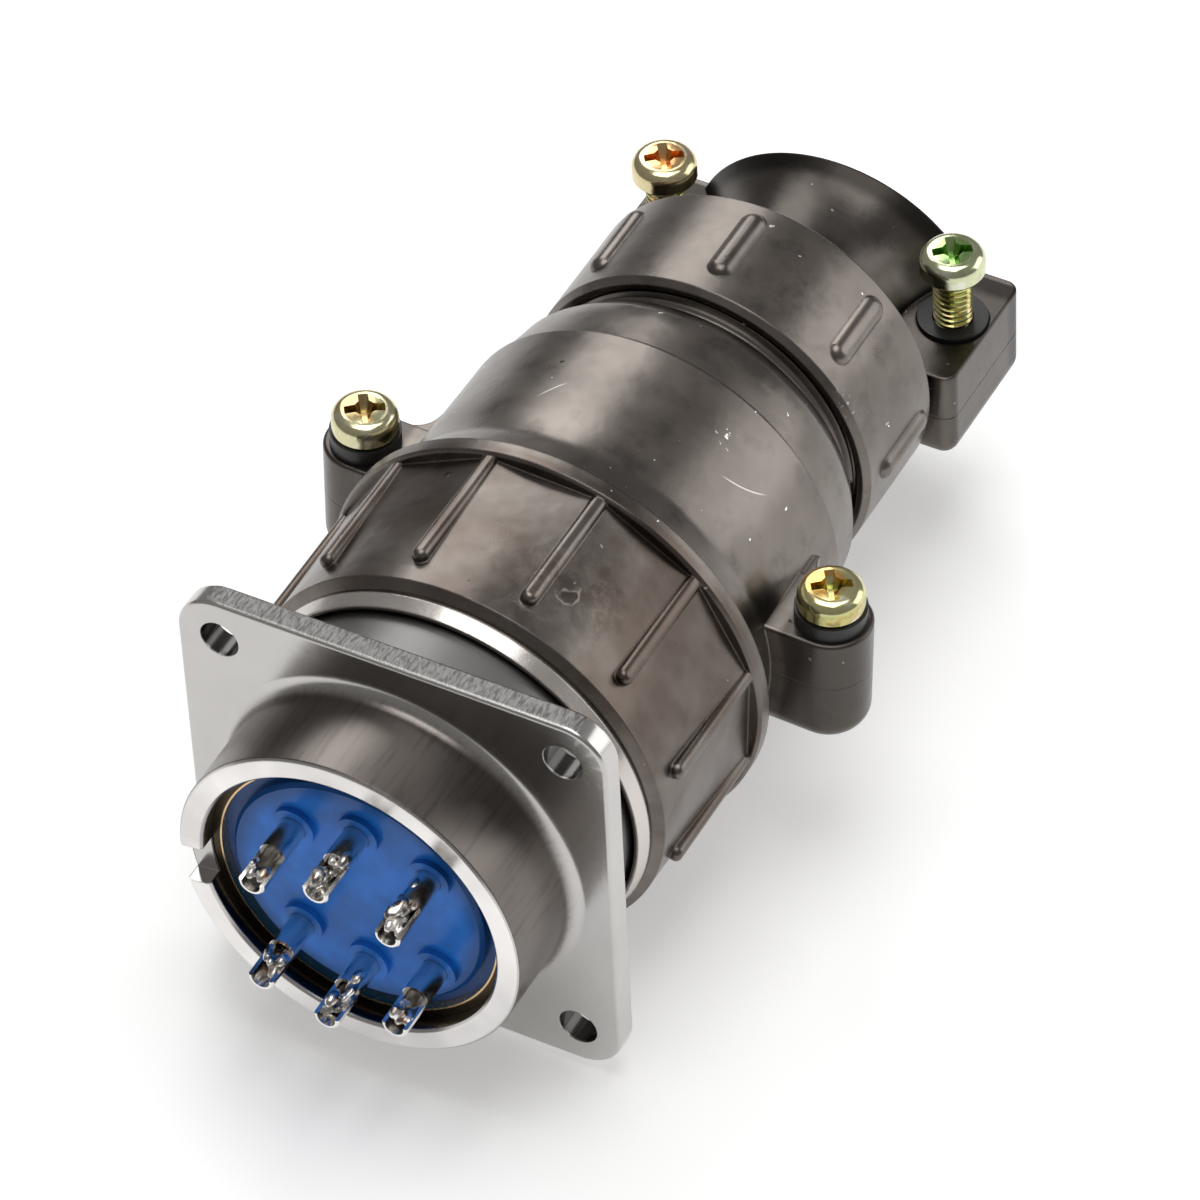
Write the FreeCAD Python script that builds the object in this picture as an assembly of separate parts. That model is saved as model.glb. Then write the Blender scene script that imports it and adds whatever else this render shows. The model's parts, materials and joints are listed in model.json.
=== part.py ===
import FreeCAD, Part
import math
import os

# Circular plug connector: panel receptacle and cable plug, mated on one axis.
# Millimetres. The axis runs along Y, +Y is the cable side and +Z is up.
# The origin is on the axis, in the face of the flange that meets the panel.

V = FreeCAD.Vector
AXIS = V(0, 1, 0)
UP = V(0, 0, 1)

# Clearances
FIT = 0.02
RUN = 0.08
GAP = 0.3
BEYOND = 60.0

# Receptacle shell
FLANGE = 40.0
FLANGE_T = 2.4
FLANGE_CORNER = 4.0
FLANGE_EDGE = 0.35
HOLE_PITCH = FLANGE - 8.0
HOLE_R = 1.8
BARREL_R = 16.0
BARREL_LEN = 9.0
BARREL_FILLET = 1.4
SEAT_R = 13.35
RIM_R = SEAT_R + 0.45
EDGE = 0.25
NOTCH_W = 4.0
NOTCH_DEPTH = 1.7
NOTCH_DEG = 187.0
THREAD_R = 17.5
THREAD_START = 10.4
SHOULDER_R = THREAD_R - 0.15
RELIEF_R = THREAD_R - 0.75
FRONT_END = 20.0
SEAT_END = 4.0
LIP_R = SEAT_R - 0.95
LIP_END = 5.2
CAVITY_R = 15.2
KEYWAY_W = 3.0
KEYWAY_R = CAVITY_R + 0.8

# Receptacle insert and its ring
RING_IN_R = SEAT_R - 0.42
RING_FRONT = -7.19
RING_T = 1.0
RING_GAP = 3.0
INSERT_FACE = -7.34
INSERT_FACE_R = RING_IN_R - 1.13
INSERT_EDGE = 0.35
INSERT_NOSE = 7.0
BOSS_R = 1.95
BOSS_H = 0.55

# Contacts, two rows of three
CONTACT_XZ = [(-5.4, 5.8), (0.7, 7.6), (7.25, 5.45), (7.25, -5.45), (0.7, -7.6), (-5.4, -5.8)]
CUP_R = 1.2
CUP_BORE = 0.85
CUP_TIP = -14.8
CUP_FLOOR = -10.0
SCOOP_END = -11.2
STEM_R = 1.45
PIN_R = 1.25
PIN_TIP = 17.5
PIN_ROOT = 5.0

# Plug shell and its insert
SKIRT_R = CAVITY_R - RUN
SKIRT_IN_R = 12.9
SKIRT_FRONT = LIP_END + 0.4
COLLAR_R = THREAD_R - 0.1
COLLAR_FRONT = FRONT_END + GAP
COLLAR_REAR = 22.3
HUB_R = 15.8
TAIL_R = 15.5
TAIL_START = 27.7
TAIL_END = 36.0
KEY_W = 2.8
KEY_R = KEYWAY_R - 0.1
PLUG_FACE = INSERT_NOSE + 0.6
PLUG_INSERT_R = SKIRT_IN_R - FIT
PLUG_INSERT_END = 26.0
PLUG_RING_R = 13.9
PLUG_RING_T = 1.2
SOCKET_R = 1.9
SOCKET_BORE = PIN_R + 0.05
SOCKET_FRONT = PLUG_FACE + 0.8
SOCKET_DEPTH = 19.5
SOCKET_SLOT = 14.0
SOCKET_END = 34.0
SOCKET_CUP_R = 1.4

# Coupling nut
NUT_FRONT = 7.9
NUT_LIP_R = 18.15
NUT_BAND_R = 18.5
NUT_BAND_END = 9.3
NUT_GROOVE_R = 18.2
NUT_SHOULDER = 9.75
NUT_R = 19.35
NUT_SHOULDER_END = 10.35
NUT_CONE_START = 12.0
NUT_COLLAR_START = 25.3
NUT_COLLAR_R = NUT_R + 1.25
NUT_COLLAR_END = 26.9
NUT_REAR = 27.5
NUT_REAR_R = NUT_COLLAR_R - 0.6
NUT_SIDES = 12
NUT_FLAT = NUT_R + 0.05
NUT_MOUTH_R = 17.75
NUT_THREAD_START = 11.5
NUT_POCKET_START = 19.9
NUT_POCKET_R = COLLAR_R + GAP
NUT_WEB_START = COLLAR_REAR + 0.1
NUT_WEB_END = 25.2
NUT_WEB_R = HUB_R + RUN
NUT_RECESS_R = 18.2
RIB_R = NUT_FLAT + 0.95
RIB_W = 1.5
RIB_START = 12.4
RIB_END = 25.7
RIB_PHASE = 12.1

# Plug body in two halves
BODY_FRONT = NUT_REAR + 0.25
BODY_FLARE_R = 19.6
BODY_FLARE_END = 31.0
BODY_R = 18.6
BODY_R_REAR = 18.35
BODY_EDGE = 44.3
BODY_CONE_R = 16.3
BODY_CONE_END = 51.6
NECK_R = 15.0
NECK_END = BODY_CONE_END + 8.4
NECK_BORE = 12.5
SEAL_SEAT_R = 10.5
SEAL_SEAT = BODY_CONE_END - 1.2
SEAL_SEAT_T = 1.9
CHAMBER_R = 16.2
CHAMBER_START = 36.4
CHAMBER_END = 44.0
BODY_PLUG_R = TAIL_R + FIT
BODY_TURN = -2.4
EAR_X = 22.4
EAR_ROOT = BODY_R - 4.6
EAR_Y = 34.6
EAR_R = 3.7
EAR_TOP = 5.1
EAR_BOTTOM = -6.9
EAR_ROUND = 2.2
EAR_BLEND = 2.5
SCREW_R = 1.75
SCREW_HOLE = 1.95
HEAD_R = 2.95
HEAD_H = 2.5
HEAD_DROP = 1.35
RECESS_R = 1.95
RECESS_W = 0.95
RECESS_TURN = 35
BODY_SCREW_END = -5.2
WASHER_R = 3.15
WASHER_T = 1.5
WASHER_SPLIT = 0.5

# Back nut
BACK_FRONT = BODY_CONE_END + 2.1
BACK_FRONT_R = 16.0
BACK_R = 16.5
BACK_CHAMFER_END = BACK_FRONT + 0.6
BACK_REAR = BACK_FRONT + 12.9
BACK_EDGE = 0.9
BACK_BORE = NECK_R + RUN
BACK_LIP_START = BACK_REAR - 2.2
BACK_LIP_R = 11.4
PILL_COUNT = 8
PILL_START = BACK_FRONT + 2.4
PILL_END = BACK_REAR - 1.9
PILL_W = 2.5
PILL_R = BACK_R + 0.65
PILL_PHASE = 42.3

# Cable seal
GROMMET_R = NECK_BORE - 0.05
GROMMET_BORE = 6.5
GROMMET_START = SEAL_SEAT + 0.05
GROMMET_END = SEAL_SEAT + 11.1
SLIP_R = 12.2
SLIP_T = 0.7
SLIP_BORE = 8.0

# Cable clamp
CLAMP_RING_R = 14.8
CLAMP_RING_START = GROMMET_END + 0.9
CLAMP_RING_END = CLAMP_RING_START + 1.9
CLAMP_NECK_R = 11.1
CLAMP_NECK_END = BACK_REAR + GAP
CLAMP_BORE = 9.4
CLAMP_WALL_END = CLAMP_NECK_END + 2.0
JAW_START = CLAMP_NECK_END + GAP
JAW_LEN = 13.5
JAW_END = JAW_START + JAW_LEN
SPLIT_Z = -3.9
SPLIT_GAP = 0.05
TRUMPET = [(0.0, 11.2, 12.1), (0.35, 10.9, 11.9), (0.62, 11.3, 12.1), (0.85, 12.8, 12.6), (1.0, 14.3, 13.2)]
TRUMPET_WALL = 1.2
TRUMPET_LIP = 0.75
BLOCK_IN = 6.0
BLOCK_OUT = 17.7
BLOCK_START = JAW_START + 0.4
BLOCK_END = JAW_END + 0.9
BLOCK_TOP = 0.95
BLOCK_BOTTOM = -9.0
BLOCK_CORNER = 1.3
BLOCK_ROUND = 2.0
CLAMP_X = 14.2
CLAMP_Y = JAW_START + 7.8
CLAMP_BORE_R = 3.25
CLAMP_FLOOR = -0.15
CLAMP_HEAD_BASE = 6.75
CLAMP_SCREW_END = -6.8


# Helpers
def turned(points):
    """Solid turned about the axis from a closed outline of (radius, y) points."""
    outline = [V(r, y, 0) for r, y in points]
    outline.append(outline[0])
    face = Part.Face(Part.makePolygon(outline))
    return face.revolve(V(0, 0, 0), AXIS, 360)


def rod(radius, y0, y1, x=0.0, z=0.0):
    return Part.makeCylinder(radius, y1 - y0, V(x, y0, z), AXIS)


def post(radius, z0, z1, x, y):
    return Part.makeCylinder(radius, z1 - z0, V(x, y, z0), UP)


def block(x0, x1, y0, y1, z0, z1):
    return Part.makeBox(x1 - x0, y1 - y0, z1 - z0, V(x0, y0, z0))


def spun(shape, degrees):
    """Copy of a shape turned about the axis, from +X towards +Z."""
    copy = shape.copy()
    copy.rotate(V(0, 0, 0), AXIS, -degrees)
    return copy


def mirrored(shape):
    return shape.mirror(V(0, 0, 0), V(1, 0, 0))


def rounded(shape, radius, test):
    """Fillet the edges whose middle point passes the test."""
    edges = []
    for edge in shape.Edges:
        middle = edge.valueAt((edge.FirstParameter + edge.LastParameter) / 2)
        if test(edge, middle):
            edges.append(edge)
    return shape.makeFillet(radius, edges)


def along(edge, direction):
    """True for a straight edge that runs along a direction."""
    ends = [v.Point for v in edge.Vertexes]
    if len(ends) != 2 or edge.Curve.TypeId != "Part::GeomLine":
        return False
    run = ends[1].sub(ends[0])
    return abs(run.normalize().dot(direction)) > 0.999


def ellipse_wire(a, b, y, z):
    """Ellipse across the axis, half width a and half height b, with its seam at the bottom."""
    curve = Part.Ellipse(V(0, 0, 0), max(a, b), min(a, b))
    start = -math.pi / 2 if a > b else math.pi
    edge = curve.toShape(start, start + 2 * math.pi)
    if b > a:
        edge.rotate(V(0, 0, 0), UP, 90)
    edge.rotate(V(0, 0, 0), V(1, 0, 0), 90)
    edge.translate(V(0, y, z))
    return Part.Wire([edge])


def half_space(upper, z, margin=BEYOND):
    """Big block above or below a height, to split a solid."""
    if upper:
        return block(-margin, margin, 0, 2 * margin, z, z + margin)
    return block(-margin, margin, 0, 2 * margin, z - margin, z)


def one_solid(shape):
    """The single solid of a boolean result, with split faces joined where that stays valid."""
    joined = shape.removeSplitter()
    if joined.isValid():
        shape = joined
    solids = shape.Solids
    if len(solids) != 1:
        raise ValueError("expected one solid, found %d" % len(solids))
    return solids[0]


def save(name, shape):
    solid = one_solid(shape)
    if not solid.isValid():
        raise ValueError(name + " is not valid")
    solid.exportStep("parts/" + name + ".step")


# Receptacle
def foot_fillet(radius, size):
    """Ring that rounds the corner between the barrel and the flange face."""
    ring = rod(radius + size, -size, 0.01).cut(rod(radius - 0.2, -size - 1, 1))
    return ring.cut(Part.makeTorus(radius + size, size, V(0, -size, 0), AXIS))


def receptacle_shell():
    """Flange, rear barrel and threaded front barrel in one turned and milled piece."""
    half = FLANGE / 2
    flange = block(-half, half, 0, FLANGE_T, -half, half)
    flange = rounded(flange, FLANGE_CORNER, lambda e, m: along(e, AXIS))
    flange = rounded(flange, FLANGE_EDGE, lambda e, m: abs(m.y) < 1e-6 or abs(m.y - FLANGE_T) < 1e-6)
    ring_back = RING_FRONT + RING_T
    body = turned([
        (RIM_R + EDGE, -BARREL_LEN),
        (BARREL_R - EDGE, -BARREL_LEN),
        (BARREL_R, -BARREL_LEN + EDGE),
        (BARREL_R, 0.01),
        (BARREL_R, FLANGE_T - 0.01),
        (SHOULDER_R, FLANGE_T - 0.01),
        (SHOULDER_R, THREAD_START - 1.2),
        (RELIEF_R, THREAD_START - 0.8),
        (RELIEF_R, THREAD_START - 0.4),
        (THREAD_R, THREAD_START),
        (THREAD_R, FRONT_END - 0.5),
        (THREAD_R - 0.5, FRONT_END),
        (CAVITY_R + EDGE, FRONT_END),
        (CAVITY_R, FRONT_END - EDGE),
        (CAVITY_R, LIP_END),
        (LIP_R, LIP_END),
        (LIP_R, SEAT_END),
        (SEAT_R, SEAT_END),
        (SEAT_R, ring_back),
        (RIM_R, ring_back),
        (RIM_R, -BARREL_LEN + EDGE),
    ])
    bore = rod(LIP_R, -1, FLANGE_T + 1)
    shell = flange.cut(bore).fuse(body).fuse(foot_fillet(BARREL_R, BARREL_FILLET))
    seat = rod(SEAT_R, ring_back + 0.1, SEAT_END)
    shell = shell.cut(seat)
    for sx in (-1, 1):
        for sz in (-1, 1):
            hole = rod(HOLE_R, -1, FLANGE_T + 1, sx * HOLE_PITCH / 2, sz * HOLE_PITCH / 2)
            shell = shell.cut(hole)
    notch = block(RIM_R - 2, BARREL_R + 2, -BARREL_LEN - 1, -BARREL_LEN + NOTCH_DEPTH, -NOTCH_W / 2, NOTCH_W / 2)
    shell = shell.cut(spun(notch, NOTCH_DEG))
    keyway = block(-KEYWAY_W / 2, KEYWAY_W / 2, LIP_END, FRONT_END + 1, CAVITY_R - 1, KEYWAY_R)
    return shell.cut(keyway)


def receptacle_insulator():
    ring_back = RING_FRONT + RING_T
    insert = turned([
        (0, INSERT_FACE),
        (INSERT_FACE_R - INSERT_EDGE, INSERT_FACE),
        (INSERT_FACE_R, INSERT_FACE + INSERT_EDGE),
        (INSERT_FACE_R, ring_back),
        (SEAT_R - FIT, ring_back),
        (SEAT_R - FIT, SEAT_END),
        (LIP_R - FIT, SEAT_END),
        (LIP_R - FIT, INSERT_NOSE),
        (0, INSERT_NOSE),
    ])
    for x, z in CONTACT_XZ:
        insert = insert.fuse(rod(BOSS_R, INSERT_FACE - BOSS_H, INSERT_FACE + 0.1, x, z))
    for x, z in CONTACT_XZ:
        insert = insert.cut(rod(CUP_R + FIT, INSERT_FACE - 2, INSERT_FACE + 1, x, z))
        insert = insert.cut(rod(STEM_R + FIT, INSERT_FACE + 0.5, PIN_ROOT + 0.05, x, z))
        insert = insert.cut(rod(PIN_R + FIT, PIN_ROOT, INSERT_NOSE + 1, x, z))
    return insert


def snap_ring(inner, outer, y0, y1, gap, degrees):
    """Flat ring with a gap."""
    ring = rod(outer, y0, y1).cut(rod(inner, y0 - 1, y1 + 1))
    slot = block(inner - 1, outer + 1, y0 - 1, y1 + 1, -gap / 2, gap / 2)
    return ring.cut(spun(slot, degrees))


def receptacle_retaining_ring():
    ring_back = RING_FRONT + RING_T
    return snap_ring(RING_IN_R, RIM_R - FIT, RING_FRONT, ring_back - FIT, RING_GAP, 90)


def solder_cup(tip, floor, scoop, radius, side, x, z):
    """Hollow and scoop to cut from a contact's end; side +1 opens towards +Y."""
    low = min(tip, floor)
    hollow = rod(CUP_BORE, low - (1 if side < 0 else 0), low + abs(tip - floor) + (1 if side > 0 else 0), x, z)
    y0 = min(tip + side, scoop)
    y1 = max(tip + side, scoop)
    scoop_cut = block(x - radius - 1, x + radius + 1, y0, y1, z + 0.15, z + radius + 1)
    return hollow.fuse(scoop_cut)


def pin_contact(x, z):
    """Solder cup, stem and pin on one line."""
    contact = turned([
        (0, CUP_TIP),
        (CUP_R - 0.15, CUP_TIP),
        (CUP_R, CUP_TIP + 0.15),
        (CUP_R, INSERT_FACE + 0.52),
        (STEM_R, INSERT_FACE + 0.52),
        (STEM_R, PIN_ROOT),
        (PIN_R, PIN_ROOT),
        (PIN_R, PIN_TIP - 0.7),
        (0.55, PIN_TIP),
        (0, PIN_TIP),
    ])
    contact.translate(V(x, 0, z))
    return contact.cut(solder_cup(CUP_TIP, CUP_FLOOR, SCOOP_END, CUP_R, -1, x, z))


# Plug
def plug_shell():
    """Keyed skirt, collar for the coupling nut and threaded tail."""
    shell = turned([
        (SKIRT_IN_R, SKIRT_FRONT),
        (SKIRT_R - EDGE, SKIRT_FRONT),
        (SKIRT_R, SKIRT_FRONT + EDGE),
        (SKIRT_R, COLLAR_FRONT),
        (COLLAR_R, COLLAR_FRONT),
        (COLLAR_R, COLLAR_REAR),
        (HUB_R, COLLAR_REAR),
        (HUB_R, TAIL_START - GAP),
        (TAIL_R, TAIL_START),
        (TAIL_R, TAIL_END),
        (PLUG_RING_R, TAIL_END),
        (PLUG_RING_R, PLUG_INSERT_END),
        (SKIRT_IN_R, PLUG_INSERT_END),
    ])
    key = block(-KEY_W / 2, KEY_W / 2, SKIRT_FRONT, COLLAR_FRONT + 0.1, SKIRT_R - 0.5, KEY_R)
    return shell.fuse(key)


def plug_insulator():
    insert = rod(PLUG_INSERT_R, PLUG_FACE, PLUG_INSERT_END)
    for x, z in CONTACT_XZ:
        insert = insert.cut(rod(SOCKET_R + FIT, SOCKET_FRONT, PLUG_INSERT_END + 1, x, z))
        insert = insert.cut(rod(PIN_R + 0.25, PLUG_FACE - 1, SOCKET_FRONT + 0.1, x, z))
    return insert


def plug_retaining_ring():
    return snap_ring(11.6, PLUG_RING_R - FIT, PLUG_INSERT_END, PLUG_INSERT_END + PLUG_RING_T, RING_GAP, 90)


def socket_contact(x, z):
    """Sprung socket with a slot, a stem and a solder cup."""
    contact = turned([
        (SOCKET_BORE, SOCKET_FRONT),
        (SOCKET_R, SOCKET_FRONT),
        (SOCKET_R, PLUG_INSERT_END + 0.4),
        (SOCKET_CUP_R, PLUG_INSERT_END + 0.8),
        (SOCKET_CUP_R, SOCKET_END),
        (0, SOCKET_END),
        (0, SOCKET_DEPTH),
        (SOCKET_BORE, SOCKET_DEPTH),
    ])
    contact.translate(V(x, 0, z))
    slot = block(x - SOCKET_R - 1, x + SOCKET_R + 1, SOCKET_FRONT - 1, SOCKET_SLOT, z - 0.2, z + 0.2)
    contact = contact.cut(slot)
    return contact.cut(solder_cup(SOCKET_END, SOCKET_END - 5, SOCKET_END - 4, SOCKET_CUP_R, 1, x, z))


def pill(width, y0, y1, r0, r1, soft):
    """Raised bar with round ends, standing on +X."""
    half = width / 2
    bar = block(r0, r1, y0 + half, y1 - half, -half, half)
    for y in (y0 + half, y1 - half):
        bar = bar.fuse(Part.makeCylinder(half, r1 - r0, V(r0, y, 0), V(1, 0, 0)))
    bar = bar.removeSplitter()
    return rounded(bar, soft, lambda e, m: abs(m.x - r1) < 1e-6)


def on_ring(radius, y, degrees):
    """Point on a circle round the axis, from +X towards +Z."""
    angle = math.radians(degrees)
    return V(radius * math.cos(angle), y, radius * math.sin(angle))


def panel_barrel():
    """Outside of the nut between shoulder and collar: round in front, twelve-sided at the rear."""
    step = 360.0 / NUT_SIDES
    corner = NUT_FLAT / math.cos(math.radians(step / 2))
    arcs = []
    chords = []
    sides = []
    for i in range(NUT_SIDES):
        a = RIB_PHASE + i * step
        front = [on_ring(NUT_R, NUT_CONE_START, a + share * step) for share in (0, 0.5, 1)]
        arcs.append(Part.Arc(*front).toShape())
        chords.append(Part.makeLine(on_ring(corner, NUT_COLLAR_START, a), on_ring(corner, NUT_COLLAR_START, a + step)))
        sides.append(Part.makeRuledSurface(arcs[-1], chords[-1]))
    caps = [Part.Face(Part.Wire(arcs)), Part.Face(Part.Wire(chords))]
    shell = Part.makeShell(sides + caps)
    shell.sewShape()
    solid = Part.Solid(shell)
    if solid.Volume < 0:
        solid.reverse()
    return solid


def coupling_nut():
    """Nut with a round front, twelve panels between ribs and a round collar."""
    head = turned([
        (0, NUT_FRONT),
        (NUT_LIP_R, NUT_FRONT),
        (NUT_BAND_R, NUT_BAND_END),
        (NUT_GROOVE_R, NUT_BAND_END + 0.1),
        (NUT_GROOVE_R, NUT_SHOULDER - 0.1),
        (NUT_BAND_R, NUT_SHOULDER),
        (NUT_R, NUT_SHOULDER_END),
        (NUT_R, NUT_CONE_START),
        (0, NUT_CONE_START),
    ])
    collar = turned([
        (0, NUT_COLLAR_START),
        (NUT_COLLAR_R - EDGE, NUT_COLLAR_START),
        (NUT_COLLAR_R, NUT_COLLAR_START + EDGE),
        (NUT_COLLAR_R, NUT_COLLAR_END),
        (NUT_REAR_R, NUT_REAR),
        (0, NUT_REAR),
    ])
    inside = turned([
        (0, NUT_FRONT - 1),
        (NUT_MOUTH_R, NUT_FRONT - 1),
        (NUT_MOUTH_R, NUT_THREAD_START),
        (THREAD_R + RUN, NUT_THREAD_START + 0.2),
        (THREAD_R + RUN, NUT_POCKET_START),
        (NUT_POCKET_R, NUT_POCKET_START),
        (NUT_POCKET_R, NUT_WEB_START),
        (NUT_WEB_R, NUT_WEB_START),
        (NUT_WEB_R, NUT_WEB_END),
        (NUT_RECESS_R, NUT_WEB_END),
        (NUT_RECESS_R, NUT_REAR + 1),
        (0, NUT_REAR + 1),
    ])
    body = head.fuse(panel_barrel()).fuse(collar)
    rib = pill(RIB_W, RIB_START, RIB_END + 1, NUT_FLAT - 1, RIB_R, 0.6)
    rib = rib.cut(block(RIB_R - 6, RIB_R + 1, RIB_END, RIB_END + 3, -3, 3))
    for i in range(NUT_SIDES):
        body = body.fuse(spun(rib, RIB_PHASE + i * 360.0 / NUT_SIDES))
    return body.cut(inside)


def backshell():
    """Plug body with its ears, before it is split."""
    body = turned([
        (BODY_PLUG_R, BODY_FRONT),
        (BODY_FLARE_R, BODY_FRONT),
        (BODY_FLARE_R - 0.35, BODY_FRONT + 1.2),
        (BODY_R, BODY_FLARE_END),
        (BODY_R_REAR, BODY_EDGE),
        (BODY_R_REAR - 0.45, BODY_EDGE + 0.5),
        (BODY_CONE_R + 0.9, BODY_CONE_END - 2.2),
        (BODY_CONE_R, BODY_CONE_END - 0.6),
        (BODY_CONE_R - 0.4, BODY_CONE_END),
        (NECK_R - 0.35, BODY_CONE_END),
        (NECK_R - 0.35, BODY_CONE_END + 1.2),
        (NECK_R, BODY_CONE_END + 1.6),
        (NECK_R, NECK_END - 0.4),
        (NECK_R - 0.4, NECK_END),
        (NECK_BORE, NECK_END),
        (NECK_BORE, SEAL_SEAT),
        (SEAL_SEAT_R, SEAL_SEAT),
        (SEAL_SEAT_R, SEAL_SEAT - SEAL_SEAT_T),
        (CHAMBER_R, CHAMBER_END),
        (CHAMBER_R, CHAMBER_START),
        (BODY_PLUG_R, CHAMBER_START),
    ])
    inside = rod(CHAMBER_R, BODY_FRONT - 1, CHAMBER_END)
    ear = block(EAR_ROOT, EAR_X, EAR_Y - EAR_R, EAR_Y + EAR_R, EAR_BOTTOM, EAR_TOP)
    ear = ear.fuse(post(EAR_R, EAR_BOTTOM, EAR_TOP, EAR_X, EAR_Y)).removeSplitter()
    ear = rounded(ear, EAR_ROUND, lambda e, m: abs(m.z - EAR_BOTTOM) < 1e-6 and m.x > EAR_ROOT + 0.5)
    ear = rounded(ear, 0.35, lambda e, m: abs(m.z - EAR_TOP) < 1e-6 and m.x > EAR_ROOT + 0.5)
    rear = EAR_Y + EAR_R
    root = BODY_R - 0.3
    web = block(root - 2, root + EAR_BLEND, rear - 0.5, rear + EAR_BLEND, EAR_BOTTOM + EAR_ROUND, EAR_TOP - 0.4)
    web = web.cut(post(EAR_BLEND, EAR_BOTTOM, EAR_TOP, root + EAR_BLEND, rear + EAR_BLEND))
    ear = ear.fuse(web).cut(inside)
    body = body.fuse(ear).fuse(mirrored(ear))
    for sx in (-1, 1):
        body = body.cut(post(SCREW_HOLE, 0, EAR_TOP + 1, sx * EAR_X, EAR_Y))
        body = body.cut(post(SCREW_R + FIT, BODY_SCREW_END - 0.1, 0.1, sx * EAR_X, EAR_Y))
    return body


def tapered_slot(length, width, top, foot_length, foot_width, bottom):
    """One wing of a cross recess: wide at the head's face, narrow at its foot."""
    wires = []
    for half_x, half_y, z in ((length / 2, width / 2, top), (foot_length / 2, foot_width / 2, bottom)):
        corners = [V(half_x, -half_y, z), V(half_x, half_y, z), V(-half_x, half_y, z), V(-half_x, -half_y, z)]
        wires.append(Part.makePolygon(corners + [corners[0]]))
    return Part.makeLoft(wires, True, True)


def cross_head_screw(x, y, base, end):
    """Pan head with a cross recess and a plain shank, upright."""
    top = base + HEAD_H
    side = Part.makePolygon([
        V(0, 0, end),
        V(SCREW_R - 0.5, 0, end),
        V(SCREW_R, 0, end + 0.5),
        V(SCREW_R, 0, base),
        V(HEAD_R - 0.2, 0, base),
        V(HEAD_R, 0, base + 0.3),
        V(HEAD_R, 0, top - HEAD_DROP),
    ])
    corner = Part.Arc(V(HEAD_R, 0, top - HEAD_DROP), V(HEAD_R - 0.3, 0, top - 0.5), V(HEAD_R * 0.62, 0, top - 0.16))
    crown = Part.Arc(V(HEAD_R * 0.62, 0, top - 0.16), V(HEAD_R * 0.32, 0, top - 0.04), V(0, 0, top))
    close = Part.makePolygon([V(0, 0, top), V(0, 0, end)])
    face = Part.Face(Part.Wire(side.Edges + [corner.toShape(), crown.toShape()] + close.Edges))
    screw = face.revolve(V(0, 0, 0), UP, 360)
    wing = tapered_slot(2 * RECESS_R, RECESS_W, top + 0.1, 1.7, 0.45, top - 1.5)
    heart = tapered_slot(1.9, 1.9, top + 0.1, 1.1, 1.1, top - 1.2)
    heart.rotate(V(0, 0, 0), UP, 45)
    recess = wing.fuse(heart)
    wing.rotate(V(0, 0, 0), UP, 90)
    recess = recess.fuse(wing)
    recess.rotate(V(0, 0, 0), UP, RECESS_TURN)
    screw = screw.cut(recess)
    screw.translate(V(x, y, 0))
    return screw


def washer(x, y, floor):
    """Split spring washer round a screw, lying on the floor of its seat."""
    top = floor + WASHER_T
    ring = post(WASHER_R, floor, top - FIT, x, y)
    ring = ring.cut(post(SCREW_R + 0.1, floor - 1, top + 1, x, y))
    half = WASHER_SPLIT / 2
    split = block(x - half, x + half, y, y + WASHER_R + 1, floor - 1, top + 1)
    return ring.cut(split)


def back_nut():
    """Rear ring with raised pills."""
    ring = turned([
        (BACK_BORE + 0.4, BACK_FRONT),
        (BACK_FRONT_R, BACK_FRONT),
        (BACK_R, BACK_CHAMFER_END),
        (BACK_R, BACK_REAR - BACK_EDGE),
        (BACK_R - BACK_EDGE, BACK_REAR),
        (BACK_LIP_R, BACK_REAR),
        (BACK_LIP_R, BACK_LIP_START),
        (BACK_BORE, BACK_LIP_START),
        (BACK_BORE, BACK_FRONT + 0.4),
    ])
    step = 360.0 / PILL_COUNT
    bar = pill(PILL_W, PILL_START, PILL_END, BACK_R - 1, PILL_R, 1.1)
    for i in range(PILL_COUNT):
        ring = ring.fuse(spun(bar, PILL_PHASE + i * step))
    return ring


def tube_between(outer, inner, y0, y1):
    return rod(outer, y0, y1).cut(rod(inner, y0 - 1, y1 + 1))


def trumpet():
    """Oval tube that flares to a thin lip, with its passage to cut apart."""
    length = JAW_END - JAW_START
    outside = []
    inside = []
    for share, a, b in TRUMPET:
        y = JAW_START + share * length
        wall = TRUMPET_WALL + (TRUMPET_LIP - TRUMPET_WALL) * share
        outside.append(ellipse_wire(a, b, y, SPLIT_Z))
        inside.append(ellipse_wire(a - wall, b - wall, y, SPLIT_Z))
    return Part.makeLoft(outside, True), Part.makeLoft(inside, True)


def clamp_block():
    """Block beside the trumpet, before it is split and bored."""
    solid = block(BLOCK_IN, BLOCK_OUT, BLOCK_START, BLOCK_END, BLOCK_BOTTOM, BLOCK_TOP)
    solid = rounded(solid, BLOCK_CORNER, lambda e, m: along(e, UP) and m.x > BLOCK_OUT - 0.1)
    solid = rounded(solid, BLOCK_ROUND, lambda e, m: along(e, AXIS) and m.z < BLOCK_TOP - 1 and m.x > BLOCK_IN + 0.1)
    return rounded(solid, 0.2, lambda e, m: abs(m.z - BLOCK_TOP) < 1e-6 and m.x > BLOCK_IN + 0.1)


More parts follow.
